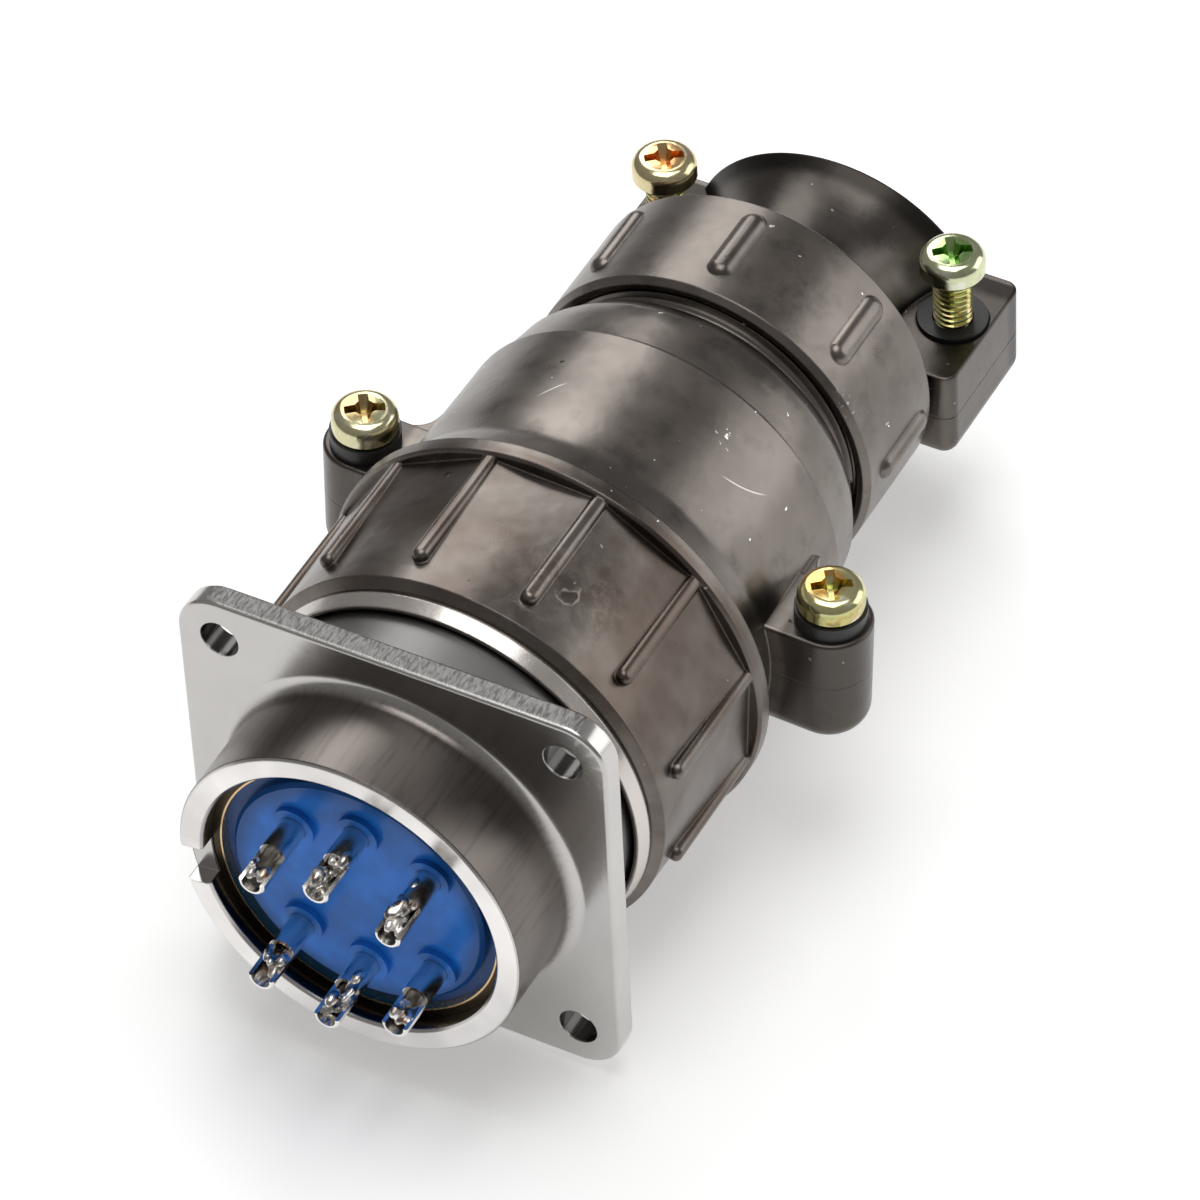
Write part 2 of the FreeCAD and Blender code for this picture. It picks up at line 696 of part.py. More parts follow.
def clamp_halves():
    """Upper and lower jaw of the cable clamp."""
    outside, passage = trumpet()
    side = clamp_block()
    whole = outside.fuse(side).fuse(mirrored(side))
    for sx in (-1, 1):
        whole = whole.cut(post(CLAMP_BORE_R, CLAMP_FLOOR, BLOCK_TOP + 9, sx * CLAMP_X, CLAMP_Y))
    whole = whole.cut(passage)
    last, rim_a, rim_b = TRUMPET[-1]
    mouth = Part.Face(ellipse_wire(rim_a - TRUMPET_LIP, rim_b - TRUMPET_LIP, JAW_END - 0.01, SPLIT_Z))
    whole = whole.cut(mouth.extrude(V(0, BLOCK_END - JAW_END + 1, 0)))
    upper = whole.common(half_space(True, SPLIT_Z + SPLIT_GAP / 2))
    below = half_space(False, SPLIT_Z - SPLIT_GAP / 2)
    lower = whole.common(below)
    wall_a = TRUMPET[0][1]
    wall_b = TRUMPET[0][2]
    ends = [ellipse_wire(wall_a, wall_b, y, SPLIT_Z) for y in (CLAMP_NECK_END, CLAMP_WALL_END)]
    wall = Part.makeLoft(ends, True).common(below)
    lower = lower.fuse(wall.cut(rod(CLAMP_BORE, CLAMP_RING_START, CLAMP_WALL_END + 1)))
    ring = tube_between(CLAMP_RING_R, CLAMP_BORE, CLAMP_RING_START, CLAMP_RING_END)
    neck = tube_between(CLAMP_NECK_R, CLAMP_BORE, CLAMP_RING_START, CLAMP_NECK_END + 0.05)
    lower = lower.fuse(ring).fuse(neck)
    for sx in (-1, 1):
        upper = upper.cut(post(SCREW_HOLE, SPLIT_Z - 5, BLOCK_TOP, sx * CLAMP_X, CLAMP_Y))
        lower = lower.cut(post(SCREW_R + FIT, BLOCK_BOTTOM - 1, SPLIT_Z + 5, sx * CLAMP_X, CLAMP_Y))
    return upper, lower


# Build
def main():
    os.makedirs("parts", exist_ok=True)

    save("receptacle_shell", receptacle_shell())
    save("receptacle_insulator", receptacle_insulator())
    save("receptacle_retaining_ring", receptacle_retaining_ring())
    for i, (x, z) in enumerate(CONTACT_XZ):
        save("pin_contact_%d" % (i + 1), pin_contact(x, z))
        save("socket_contact_%d" % (i + 1), socket_contact(x, z))

    save("plug_shell", plug_shell())
    save("plug_insulator", plug_insulator())
    save("plug_retaining_ring", plug_retaining_ring())
    save("coupling_nut", coupling_nut())

    body = backshell()
    save("backshell_upper", spun(body.common(half_space(True, 0)), BODY_TURN))
    save("backshell_lower", spun(body.common(half_space(False, 0)), BODY_TURN))
    for side, sx in (("left", -1), ("right", 1)):
        screw = cross_head_screw(sx * EAR_X, EAR_Y, EAR_TOP + WASHER_T, BODY_SCREW_END)
        save("backshell_screw_" + side, spun(screw, BODY_TURN))
        save("backshell_washer_" + side, spun(washer(sx * EAR_X, EAR_Y, EAR_TOP), BODY_TURN))

    save("back_nut", back_nut())
    save("cable_grommet", tube_between(GROMMET_R, GROMMET_BORE, GROMMET_START, GROMMET_END))
    save("slip_washer", tube_between(SLIP_R, SLIP_BORE, GROMMET_END + 0.05, GROMMET_END + 0.05 + SLIP_T))

    upper, lower = clamp_halves()
    save("clamp_upper", upper)
    save("clamp_lower", lower)
    for side, sx in (("left", -1), ("right", 1)):
        save("clamp_screw_" + side, cross_head_screw(sx * CLAMP_X, CLAMP_Y, CLAMP_HEAD_BASE, CLAMP_SCREW_END))
        save("clamp_washer_" + side, washer(sx * CLAMP_X, CLAMP_Y, CLAMP_FLOOR))


main()
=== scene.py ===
"""Finishes and fine details of a mated circular plug connector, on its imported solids."""
import json
import math
from collections import namedtuple

import bmesh
import bpy
from mathutils import Matrix, Vector

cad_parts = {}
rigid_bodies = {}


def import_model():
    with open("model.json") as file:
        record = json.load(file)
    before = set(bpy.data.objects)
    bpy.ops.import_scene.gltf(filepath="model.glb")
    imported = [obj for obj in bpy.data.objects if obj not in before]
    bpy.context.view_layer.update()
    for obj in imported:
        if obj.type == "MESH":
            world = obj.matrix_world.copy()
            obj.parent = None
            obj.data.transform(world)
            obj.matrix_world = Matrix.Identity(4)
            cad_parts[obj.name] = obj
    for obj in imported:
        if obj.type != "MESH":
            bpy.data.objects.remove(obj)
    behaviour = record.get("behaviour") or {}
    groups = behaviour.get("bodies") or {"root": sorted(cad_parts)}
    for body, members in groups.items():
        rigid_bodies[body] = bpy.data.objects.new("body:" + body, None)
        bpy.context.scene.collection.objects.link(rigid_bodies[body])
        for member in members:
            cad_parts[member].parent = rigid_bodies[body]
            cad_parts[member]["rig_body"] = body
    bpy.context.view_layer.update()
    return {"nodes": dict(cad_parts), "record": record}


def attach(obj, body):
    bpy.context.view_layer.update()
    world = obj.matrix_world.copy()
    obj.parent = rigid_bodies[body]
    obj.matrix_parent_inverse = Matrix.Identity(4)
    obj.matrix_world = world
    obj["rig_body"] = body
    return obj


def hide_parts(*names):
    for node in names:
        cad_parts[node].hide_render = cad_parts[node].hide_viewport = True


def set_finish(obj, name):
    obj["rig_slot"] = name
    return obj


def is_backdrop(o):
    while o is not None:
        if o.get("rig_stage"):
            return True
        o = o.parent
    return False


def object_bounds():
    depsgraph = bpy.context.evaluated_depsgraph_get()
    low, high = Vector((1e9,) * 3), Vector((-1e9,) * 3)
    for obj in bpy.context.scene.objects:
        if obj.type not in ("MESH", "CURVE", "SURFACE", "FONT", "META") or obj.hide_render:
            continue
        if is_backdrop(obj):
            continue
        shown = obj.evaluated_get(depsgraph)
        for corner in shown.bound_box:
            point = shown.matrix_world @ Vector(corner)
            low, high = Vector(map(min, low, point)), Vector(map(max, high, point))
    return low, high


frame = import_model()

bl_info = {
    "name": "Circular plug connector",
    "version": (1, 0, 0),
    "blender": (4, 5, 0),
    "location": "3D View > Sidebar > Connector",
    "description": "Finishes and fine details of a mated circular plug connector",
    "category": "Object",
}

MM = 0.001
# Material slot of each CAD node
SLOT_OF = {part["node"]: part["material_slot"] for part in frame["record"]["subparts"]}

# Sizes and places are in millimetres, down to the stage. The connector's axis is Y, towards the cable. X is
# to the right as seen from the solder side, and Z is up. The flange's face that meets the panel is at y = 0.

# Threads: the steps are the straight pieces in one turn of the helix
Thread = namedtuple("Thread", "radius pitch depth steps")
NECK_THREAD = Thread(15.0, 1.0, 0.5, 96)
NECK_START, NECK_END = 53.3, 60.9
COUPLING_RADIUS, COUPLING_STEPS = 17.5, 96
COUPLING_START, COUPLING_END = 10.3, 21.0
SCREW_THREAD = Thread(1.75, 0.6, 0.28, 24)
# The groove's wedge, in shares of the pitch and of the depth
GROOVE_FOOT, GROOVE_MOUTH, GROOVE_CLEARANCE = 0.07, 0.46, 0.3
# Points of a CAD mesh this near are one, and edges shorter than this go, before a thread is cut
WELD_GAP, SHORTEST_EDGE = 0.002, 0.0001
# Largest angle between faces that are shaded as one, in degrees, and how much the large faces lead
SMOOTH_ANGLE, LARGE_FACE_WEIGHT = 28, 70

# Side screws: axis, where the thread starts and ends below the split, and the films on head and recess
Screw = namedtuple("Screw", "node x y start end head recess")
SCREWS = [
    Screw("backshell_screw_left", -22.4, 34.6, -6.0, 5.8, (0.74, 0.72, 0.5), (0.45, 0.33, 0.16)),
    Screw("backshell_screw_right", 22.4, 34.6, -6.0, 5.8, (0.74, 0.72, 0.42), (0.75, 0.42, 0.1)),
    Screw("clamp_screw_left", -14.2, 75.0, -6.3, 7.4, (0.78, 0.66, 0.45), (0.72, 0.4, 0.17)),
    Screw("clamp_screw_right", 14.2, 75.0, -6.3, 7.4, (0.66, 0.74, 0.56), (0.28, 0.48, 0.15)),
]
# The plug's body stands turned about the axis by this angle, in degrees
BODY_TURN = -2.4
# Middle of a screw's head, above the start of its thread
HEAD_MIDDLE = 1.5
# Films on head and recess: radii of the soft edge, its heights from the head's middle, and the share
HEAD_FILM = ((3.4, 3.6), (-1.4, -1.2), 0.6)
RECESS_FILM = ((1.2, 2.3), (-1.0, -0.7), 0.9)

# Solder on each cup: the cup's axis, number and seed of the lumps, and where they start and end along it
Solder = namedtuple("Solder", "x z count seed start end")
SOLDER = [
    Solder(-5.4, 5.8, 6, 9, -13.6, -12.6),
    Solder(0.7, 7.6, 20, 36, -13.6, -9.3),
    Solder(7.25, 5.45, 20, 3, -13.6, -9.2),
    Solder(7.25, -5.45, 11, 27, -13.6, -11.4),
    Solder(0.7, -7.6, 17, 17, -13.6, -9.8),
    Solder(-5.4, -5.8, 15, 44, -13.6, -10.2),
]
# Radii of the lumps, and how far their middles stand from the cup's axis, across and upwards
LUMP_SMALL, LUMP_LARGE = 0.3, 0.56
LUMP_LOW, LUMP_HIGH = (-0.8, -0.7), (0.9, 1.2)
# Grain of the volume that melts the lumps together, and how many times its skin is smoothed
LUMP_GRAIN = 0.1
LUMP_ROUNDING = 9
# The lumps are made short and then stretched along the cup
STRETCH = 1.9

# Where the bell mouth ends
MOUTH = 81.6
# Zones of the finishes and of the painted shade and highlights. Each pair is a soft edge: where the zone
# starts to show, and where it is full. It is measured along the axis, from the axis (radius) or upwards.
LIP = {"along": [(7.7, 7.95), (9.45, 9.25)], "radius": [(17.9, 18.0)]}
NUT = {"along": [(9.4, 10.5), (26.6, 26.0)]}
NUT_AND_FRONT = {"along": [(27.9, 27.5)]}
# The side ears and the clamp with its bell are darkened by painted shade
EARS_SHADE = {"radius": [(19.6, 20.4)], "along": [(28.2, 28.6)]}
CLAMP_SHADE = {"along": [(67.2, 68.5)]}
# Painted shade in a band just inside the bell's rim
THROAT_SHADE = {"along": [(MOUTH - 3.2, MOUTH - 1.9), (MOUTH - 0.55, MOUTH - 0.75)]}
# Painted highlight along the edge of the bell's rim
MOUTH_EDGE_HIGHLIGHT = {"along": [(MOUTH - 0.6, MOUTH - 0.45)]}
BARREL_WALL = {"along": [(0.0, -1.1), (-8.95, -8.8)], "radius": [(15.9, 15.97)]}
BARREL_RIM = {"along": [(-8.9, -8.98)], "radius": [(13.6, 13.9)]}
# Painted shade on the barrel's inner wall round the insert
BARREL_INSIDE_SHADE = {"radius": [(13.99, 13.9)], "along": [(-8.8, -8.5), (0.5, 0.0)]}
# Painted shade on the neck inside the coupling nut's mouth
NECK_SHADE = {"along": [(2.38, 2.42)], "radius": [(17.8, 17.6)]}
FLANGE_TOP = {"up": [(19.7, 19.85)], "along": [(0.2, 0.5)]}
# Painted shade on the walls of the flange's holes
HOLE_WALL_SHADE = {"along": [(0.05, 0.2), (2.6, 2.4)]}
# Painted shade on the insert towards its edge
INSERT_EDGE_SHADE = {"radius": [(9.6, 11.7)]}
# The retaining rings are darkened by painted shade beyond this radius
RING_SHADE_RADIUS = 13.05
# Holes of the flange, and the soft edge round each
FLANGE_HOLES = [(x, 0, z) for x in (-16, 16) for z in (-16, 16)]
HOLE_INNER, HOLE_OUTER = 1.78, 1.9

# Painted highlight on the nut, and rubbed places: place, and how far from it each starts to fade and ends
NUT_SHEEN = ((7.5, 15.5, 18.0), 2.5, 7.5)
RUBBED = [((15.9, 53.0, 9.3), 1.2, 3.4), ((10.4, 39.8, 15.4), 0.5, 1.7)]
# Scratches on the plug's body: centre and radius of the arc, then where it shows and how far
SCRATCHES = [((10.76, 44.39, 15.62), 8.0, (13.34, 37.31, 12.96), 2.7),
             ((4.67, 28.84, 20.28), 12.0, (-4.43, 36.34, 18.05), 1.7)]
# How far a scratch takes to fade out along its arc, and its soft edge across
SCRATCH_FADE = 1.2
SCRATCH_EDGE = (0.09, 0.03)
# Dent beside a rib of the nut, painted in colour as shade on its floor and a highlight on its ridge: place,
# how far its outline wavers, and soft edges of its floor and ridge
DENT = (8.48, 15.75, 17.67)
DENT_WAVER = 2.2
DENT_FLOOR_SHADE = (1.7, 1.6)
DENT_RIDGE_HIGHLIGHT = [(1.7, 1.78), (2.02, 1.9)]

# Colours that aren't settings
BARE_METAL = (0.9, 0.88, 0.85)
PIT_BLACK = (0.01, 0.01, 0.01)
LIP_METAL = (0.62, 0.58, 0.55)
NUT_DARK = (0.085, 0.058, 0.045)
NUT_LIGHT = (0.155, 0.138, 0.124)
# Darker copy of the shell's plating for the barrel's outer wall: painted shade
SHADED_WALL_METAL = (0.13, 0.112, 0.1)
ZINC_GREEN = (0.42, 0.48, 0.2)
ZINC_BROWN = (0.6, 0.42, 0.2)
ZINC_CLEAR = (0.7, 0.7, 0.62)
BURNT_FLUX = (0.4, 0.2, 0.1)
SEAL_RUBBER = (0.03, 0.03, 0.03)
WASHER_METAL = (0.55, 0.55, 0.55)
BLACK_OXIDE = (0.012, 0.012, 0.012)

# Stage, in metres and watts. Each light stands off from the middle, so far in its direction, and aims at it.
MIDDLE = (0, 0.035, 0)
Light = namedtuple("Light", "name distance direction size power")
LIGHTS = [
    Light("left", 0.6, (-0.471, 0.612, 0.634), (0.26, 0.3), 0.8),
    Light("right", 0.7, (0.706, 0.612, 0.354), (0.5, 0.45), 1.25),
    Light("top", 1.0, (0, 0.02, 0.6), (0.42, 0.42), 1.7),
]
FLOOR_REACH, FLOOR_GAP = 4.0, 0.0002
FLOOR_TONE = (0.93, 0.93, 0.93)
FLOOR_GLOW = 0.34
SKY_LOW, SKY_HIGH = (0.8, 0.78, 0.76, 1), (1, 0.98, 0.96, 1)
SKY_STRENGTH = 0.28
# Camera: angles in degrees, the rest in millimetres. The shift is across the picture.
CAMERA_TURN = 30.08
CAMERA_RISE = 45.16
CAMERA_ROLL = 3.04
CAMERA_DISTANCE = 652.5
CAMERA_SHIFT = (-16.55, -19.46)
CAMERA_LENS = 236.14
CAMERA_FILM = 36
CAMERA_NEAR, CAMERA_FAR = 10, 50000


# Settings
class ConnectorColours(bpy.types.PropertyGroup):
    """Colours of the connector's finishes."""
    plug_metal: bpy.props.FloatVectorProperty(
        name="Plug metal", description="Grey plating of the plug's turned and cast pieces",
        subtype="COLOR", size=3, min=0, max=1, default=(0.18, 0.16, 0.144))
    plated_shell: bpy.props.FloatVectorProperty(
        name="Receptacle metal", description="Bright plating of the square-flange shell",
        subtype="COLOR", size=3, min=0, max=1, default=(0.55, 0.535, 0.52))
    insert: bpy.props.FloatVectorProperty(
        name="Insert", description="Moulded insert that holds the contacts",
        subtype="COLOR", size=3, min=0, max=1, default=(0.015, 0.16, 0.60))
    gilt: bpy.props.FloatVectorProperty(
        name="Retaining ring", description="Thin ring in front of the insert",
        subtype="COLOR", size=3, min=0, max=1, default=(0.75, 0.52, 0.28))
    contact: bpy.props.FloatVectorProperty(
        name="Contacts", description="Silver plating of the contacts",
        subtype="COLOR", size=3, min=0, max=1, default=(0.82, 0.80, 0.77))
    zinc: bpy.props.FloatVectorProperty(
        name="Screws", description="Yellow zinc plating of the side screws",
        subtype="COLOR", size=3, min=0, max=1, default=(0.58, 0.5, 0.2))


class ConnectorSizes(bpy.types.PropertyGroup):
    """Sizes of the details that the solids leave out."""
    thread_pitch: bpy.props.FloatProperty(
        name="Thread pitch", description="Pitch of the coupling thread",
        unit="LENGTH", min=0.0005, max=0.003, default=0.001)
    thread_depth: bpy.props.FloatProperty(
        name="Thread depth", description="Depth of the coupling thread's groove",
        unit="LENGTH", min=0.0001, max=0.001, default=0.00055)


# Node trees
def add_node(tree, kind, **values):
    """Adds a node; a value sets a property, or sets or links the input of that name."""
    node = tree.nodes.new(kind)
    for key, value in values.items():
        if key in node.bl_rna.properties.keys():
            setattr(node, key, value)
            continue
        socket = node.inputs[key.replace("_", " ")]
        if isinstance(value, bpy.types.NodeSocket):
            tree.links.new(value, socket)
        else:
            socket.default_value = value
    return node


class Finish:
    """Node tree of one finish, with a short call for each node that it needs."""

    def __init__(self, name):
        self.material = bpy.data.materials.new(name)
        self.material.use_nodes = True
        self.tree = self.material.node_tree
        self.tree.nodes.clear()
        self.shader = self.add("ShaderNodeBsdfPrincipled")
        self.add("ShaderNodeOutputMaterial", Surface=self.shader.outputs[0])
        self.point = self.add("ShaderNodeTexCoord").outputs["Object"]
        self.measures = {}

    def add(self, kind, **values):
        return add_node(self.tree, kind, **values)

    def feed(self, socket, value):
        """Links an output, or sets a plain value; a number on a colour makes a grey."""
        if isinstance(value, bpy.types.NodeSocket):
            self.tree.links.new(value, socket)
        elif socket.type == "RGBA":
            socket.default_value = (*value, 1) if hasattr(value, "__len__") else (value, value, value, 1)
        else:
            socket.default_value = value

    def set(self, **values):
        """Sets or links the shader's inputs."""
        for key, value in values.items():
            self.feed(self.shader.inputs[key.replace("_", " ")], value)

    # Patterns
    def stretched(self, scale, turn=(0, 0, 0)):
        return self.add("ShaderNodeMapping", Vector=self.point, Scale=scale, Rotation=turn).outputs[0]

    def shifted(self, distance):
        """The point moved by this distance on each axis, for a pattern of its own."""
        node = self.add("ShaderNodeVectorMath", operation="ADD")
        self.feed(node.inputs[0], self.point)
        node.inputs[1].default_value = (distance * MM,) * 3
        return node.outputs[0]

    def noise(self, size, detail, rough, vector=None):
        """Noise whose features are about that size."""
        return self.add("ShaderNodeTexNoise", Vector=vector or self.point, Scale=1.0 / (size * MM),
                        Detail=detail, Roughness=rough).outputs["Fac"]

    def ramp(self, value, *stops):
        node = self.add("ShaderNodeValToRGB", Fac=value)
        points = node.color_ramp.elements
        while len(points) < len(stops):
            points.new(0.5)
        for point, (place, colour) in zip(points, stops):
            point.position = place
            if not hasattr(colour, "__len__"):
                colour = (colour,) * 3
            point.color = (*colour, 1)
        return node.outputs[0]

    # Sums
    def mix(self, share, a, b):
        """a where the share is 0 and b where it is 1."""
        node = self.add("ShaderNodeMix", data_type="RGBA", blend_type="MIX")
        self.feed(node.inputs[0], share)
        self.feed(node.inputs[6], a)
        self.feed(node.inputs[7], b)
        return node.outputs[2]

    def maths(self, operation, a, b=0.0):
        node = self.add("ShaderNodeMath", operation=operation)
        self.feed(node.inputs[0], a)
        self.feed(node.inputs[1], b)
        return node.outputs[0]

    def folded(self, operation, first, *others):
        for other in others:
            first = self.maths(operation, first, other)
        return first

    def times(self, *values):
        return self.folded("MULTIPLY", *values)

    def plus(self, *values):
        return self.folded("ADD", *values)

    def most(self, *values):
        return self.folded("MAXIMUM", *values)

    def scale_up(self, pattern, reach, least):
        """The pattern from 0 to 1 laid on the range from least to least + reach."""
        return self.plus(self.times(pattern, reach), least)

    # Places
    def step(self, value, start, end):
        """Soft step from 0 at start to 1 at end."""
        node = self.add("ShaderNodeMapRange", interpolation_type="SMOOTHSTEP")
        for socket, number in zip(node.inputs, (value, start, end, 0.0, 1.0)):
            self.feed(socket, number)
        return node.outputs[0]

    def measure(self, axis):
        """Distance from the connector's axis (radius), or place along it or upwards, in millimetres."""
        if not self.measures:
            x, y, z = self.add("ShaderNodeSeparateXYZ", Vector=self.point).outputs
            across = self.maths("SQRT", self.plus(self.times(x, x), self.times(z, z)))
            for name, value in (("radius", across), ("along", y), ("up", z)):
                self.measures[name] = self.maths("DIVIDE", value, MM)
        return self.measures[axis]

    def zone(self, edges):
        """Share of a zone: 1 inside it and 0 outside."""
        return self.times(*(self.step(self.measure(axis), start, end)
                            for axis, pairs in edges.items() for start, end in pairs))

    def distance(self, place, across=(1, 1, 1)):
        """Distance from a place; across is 0 for the axis that doesn't count."""
        flat = self.point
        if 0 in across:
            node = self.add("ShaderNodeVectorMath", operation="MULTIPLY")
            self.feed(node.inputs[0], self.point)
            node.inputs[1].default_value = across
            flat = node.outputs[0]
        node = self.add("ShaderNodeVectorMath", operation="DISTANCE")
        self.feed(node.inputs[0], flat)
        node.inputs[1].default_value = [c * share * MM for c, share in zip(place, across)]
        return node.outputs["Value"]

    def spot(self, place, inner, outer, across=(1, 1, 1)):
        """1 within the inner radius of a place and 0 beyond the outer one."""
        return self.step(self.distance(place, across), outer * MM, inner * MM)

    # Relief
    def bump(self, height, strength, depth, edges=0):
        """Normal with a relief; edges is the radius to which the piece's edges are softened."""
        values = {"Height": height, "Strength": strength, "Distance": depth * MM}
        if edges:
            values["Normal"] = self.add("ShaderNodeBevel", samples=4, Radius=edges * MM).outputs[0]
        return self.add("ShaderNodeBump", **values).outputs[0]


# Finishes
def scaled(colour, factor):
    return tuple(min(1.0, c * factor) for c in colour)


def painted_sheen(f, tone, colour):
    """Pale patch on the coupling nut: a painted highlight."""
    sheen_patch = f.times(f.spot(*NUT_SHEEN), f.ramp(f.noise(1.6, 4, 0.7), (0.46, 0), (0.58, 1)))
    return f.mix(f.times(sheen_patch, 0.6), tone, scaled(colour, 2.0))


def nicked(f, tone):
    """Rubbed places, scratches, specks and pits."""
    bright = f.ramp(f.noise(0.5, 3, 0.6), (0.6, 0), (0.66, 1))
    nicks = f.times(bright, f.most(*(f.spot(*place) for place in RUBBED)))
    for centre, size, place, reach in SCRATCHES:
        off = f.maths("ABSOLUTE", f.maths("SUBTRACT", f.distance(centre), size * MM))
        line = f.step(off, *(edge * MM for edge in SCRATCH_EDGE))
        shown = f.times(line, f.spot(place, reach - SCRATCH_FADE, reach))
        nicks = f.most(nicks, f.times(shown, 0.42))
    speck = f.ramp(f.noise(1.1, 2, 0.5, f.shifted(7)), (0.755, 0), (0.768, 1))
    tone = f.mix(f.most(nicks, speck), tone, BARE_METAL)
    pit = f.ramp(f.noise(1.5, 2, 0.5, f.shifted(19)), (0.22, 1), (0.235, 0))
    return f.mix(pit, tone, PIT_BLACK)


def painted_dent(f, tone, colour):
    """Small dent beside a rib of the nut, with a raised ridge round it; the ridge is a painted highlight and
    the floor painted shade.
    """
    away = f.plus(f.distance(DENT), f.times(f.noise(1.3, 1, 0.5), DENT_WAVER * MM))
    # Painted highlight on the raised ring round the dent
    ridge = f.times(*(f.step(away, start * MM, end * MM) for start, end in DENT_RIDGE_HIGHLIGHT),
                    f.ramp(f.noise(1.0, 1, 0.5, f.shifted(3)), (0.4, 0.2), (0.52, 1)))
    tone = f.mix(f.times(ridge, 0.8), tone, scaled(colour, 2.8))
    # Painted shade on the dent's floor
    floor = f.step(away, *(edge * MM for edge in DENT_FLOOR_SHADE))
    return f.mix(f.times(floor, 0.5), tone, scaled(colour, 0.3))


def cast_grey_finish(colour):
    """Satin grey plating over cast and turned pieces: mottled, with stains from handling and a few nicks,
    and with painted shade and highlights.
    """
    f = Finish("plug_metal")
    cloud = f.noise(10, 3, 0.55)
    patch = f.noise(3.4, 4, 0.6)
    grain = f.noise(0.3, 3, 0.6)
    tone = f.mix(f.ramp(cloud, (0.32, 0), (0.68, 1)), scaled(colour, 0.78), scaled(colour, 1.22))
    tone = f.mix(f.ramp(patch, (0.34, 0.45), (0.5, 0)), tone, scaled(colour, 0.5))
    # The pale patch on the nut is a painted highlight
    tone = nicked(f, painted_sheen(f, tone, colour))

    lip = f.zone(LIP)
    tone = f.mix(lip, tone, LIP_METAL)
    nut_tone = f.mix(f.ramp(cloud, (0.4, 0), (0.6, 1)), NUT_DARK, NUT_LIGHT)
    tone = f.mix(f.times(f.zone(NUT), 0.55), tone, nut_tone)
    # Painted shade: the clamp with its bell and the side ears are darkened in colour
    clamp_and_ears_shade = f.times(f.most(f.zone(CLAMP_SHADE), f.zone(EARS_SHADE)), 0.65)
    tone = f.mix(clamp_and_ears_shade, tone, scaled(colour, 0.25))
    # Painted shade in the band inside the bell's rim
    tone = f.mix(f.times(f.zone(THROAT_SHADE), 0.75), tone, scaled(colour, 0.08))
    # Painted highlight along the edge of the bell's rim
    tone = f.mix(f.times(f.zone(MOUTH_EDGE_HIGHLIGHT), 0.7), tone, scaled(colour, 0.8))
    # The dent is painted as shade and highlight
    tone = painted_dent(f, tone, colour)

    rough = f.mix(lip, f.scale_up(patch, 0.2, 0.2), 0.26)
    hammered = f.scale_up(f.zone(NUT_AND_FRONT), 3.2, 2.6)
    wave = f.plus(f.times(cloud, hammered), f.times(patch, 0.9), f.times(grain, 0.05))
    f.set(Base_Color=tone, Metallic=1.0, Roughness=rough, Normal=f.bump(wave, 0.3, 0.12, edges=0.22))
    return f.material


def bright_plate_finish(colour):
    """Bright turned plating, brightest on the rim, with filed marks on the flange's top edge, and painted
    shade on the barrel's walls, the neck and in the flange's holes.
    """
    f = Finish("plated_shell")
    cloud = f.noise(11, 3, 0.6)
    streak = f.noise(0.5, 3, 0.6, f.stretched((1, 0.08, 1)))
    filed = f.noise(0.2, 4, 0.7, f.stretched((0.8, 0.2, 1), (0, 0, 0.45)))
    wall, neck, top = f.zone(BARREL_WALL), f.zone(NECK_SHADE), f.zone(FLANGE_TOP)
    tone = f.mix(f.ramp(cloud, (0.3, 0), (0.7, 1)), scaled(colour, 0.93), scaled(colour, 1.05))
    # Painted shade: the barrel's outer wall takes a darker copy of the plating
    tone = f.mix(f.times(wall, 0.92), tone, SHADED_WALL_METAL)
    tone = f.mix(f.times(wall, f.ramp(streak, (0.3, 0.4), (0.5, 0))), tone, scaled(SHADED_WALL_METAL, 0.5))
    rim_tone = f.mix(f.ramp(cloud, (0.35, 0), (0.65, 1)), scaled(colour, 1.25), scaled(colour, 1.65))
    tone = f.mix(f.zone(BARREL_RIM), tone, rim_tone)
    # Painted shade on the neck inside the coupling nut's mouth
    tone = f.mix(f.times(neck, 0.85), tone, scaled(colour, 0.25))
    # Painted shade on the barrel's inner wall round the insert
    tone = f.mix(f.zone(BARREL_INSIDE_SHADE), tone, scaled(colour, 0.12))
    tone = f.mix(top, tone, scaled(colour, 0.42))
    tone = f.mix(f.times(top, f.ramp(filed, (0.4, 0.8), (0.56, 0))), tone, scaled(colour, 0.14))
    # Painted shade on the walls of the flange's holes
    hole_shade = f.most(*(f.spot(place, HOLE_INNER, HOLE_OUTER, (1, 0, 1)) for place in FLANGE_HOLES))
    tone = f.mix(f.times(hole_shade, f.zone(HOLE_WALL_SHADE)), tone, scaled(colour, 0.1))

    rough = f.mix(f.most(top, neck, f.times(wall, 0.6)), f.scale_up(streak, 0.12, 0.14), 0.4)
    marks = f.mix(top, f.times(streak, 0.12), f.times(filed, 2.2))
    f.set(Base_Color=tone, Metallic=1.0, Roughness=rough, Normal=f.bump(marks, 0.5, 0.06, edges=0.15))
    return f.material


def insert_finish(colour):
    """Glossy moulded plastic, with painted shade towards its edge."""
    f = Finish("blue_insert")
    cloud = f.noise(4, 3, 0.6)
    tone = f.mix(f.ramp(cloud, (0.3, 0), (0.7, 1)), scaled(colour, 0.78), scaled(colour, 1.2))
    # Painted shade towards the insert's edge
    tone = f.mix(f.times(f.zone(INSERT_EDGE_SHADE), 0.85), tone, scaled(colour, 0.4))
    f.set(Base_Color=tone, Roughness=0.24, Specular_IOR_Level=0.25,
          Normal=f.bump(f.noise(2.2, 3, 0.6), 0.15, 0.04))
    return f.material


